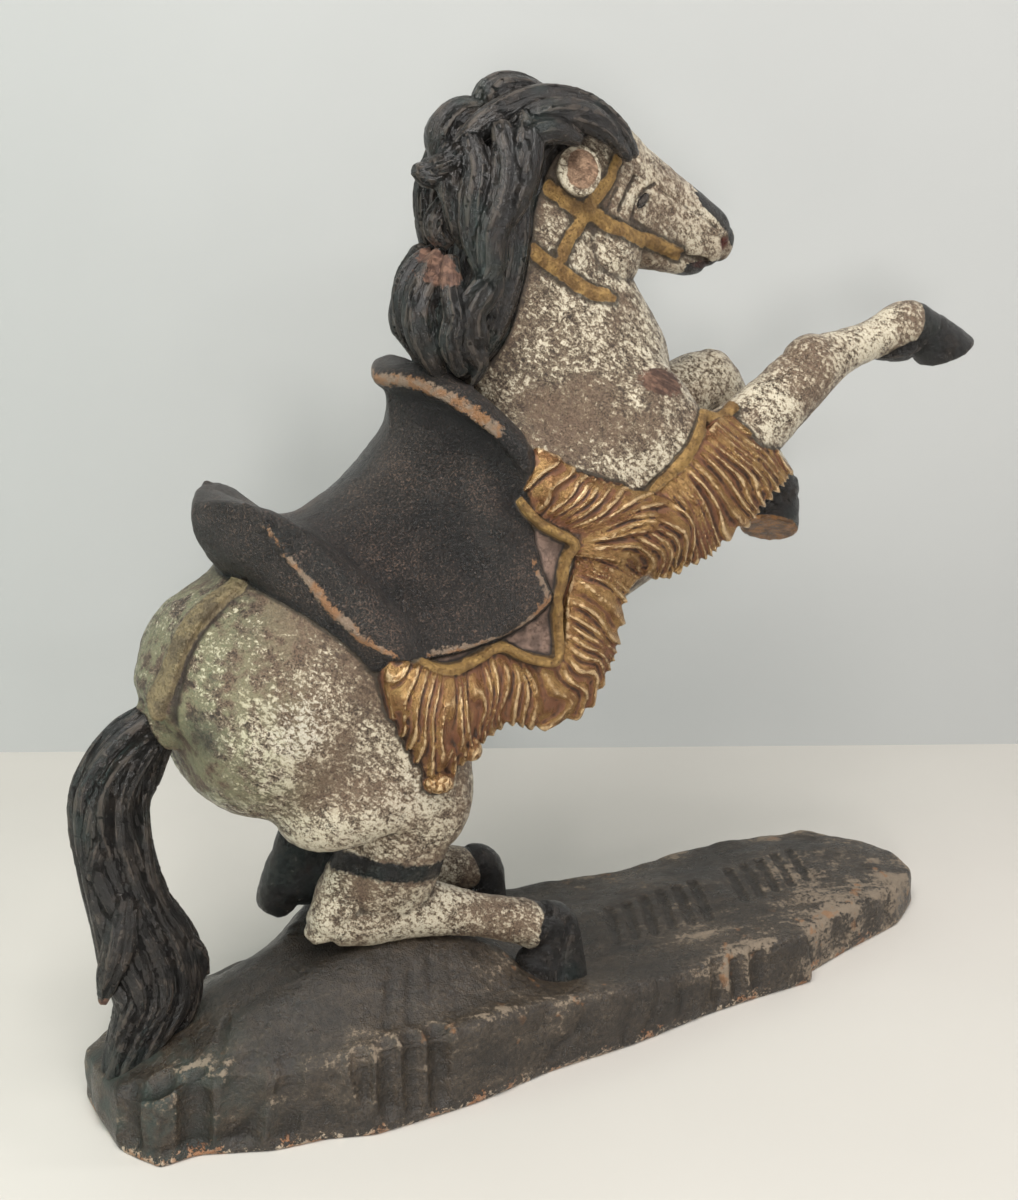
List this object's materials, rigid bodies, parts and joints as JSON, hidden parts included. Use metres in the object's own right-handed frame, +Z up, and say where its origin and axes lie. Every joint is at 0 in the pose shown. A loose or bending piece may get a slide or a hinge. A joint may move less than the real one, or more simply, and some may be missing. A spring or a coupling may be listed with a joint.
{
  "type": "carved horse statue",
  "caption": "Carved and painted wooden rearing horse with saddle, fringed blanket and long tail, kneeling on a low rocky base.",
  "frame": {"origin": "under the middle of the base, on the surface it stands on", "axes": "+X the way the horse looks, +Y its left side, +Z up"},
  "size_m": [0.5068, 0.1612, 0.4846],
  "materials": {
    "horse_paint": "worn off-white paint on dark wood, with black hair and saddle and a dull gold fringe",
    "ground_paint": "dark grey-brown satin paint, chipped along the lower edge"
  },
  "bodies": {
    "root": {"carved_horse": "horse_paint", "ground_base": "ground_paint"}
  },
  "joints": []
}
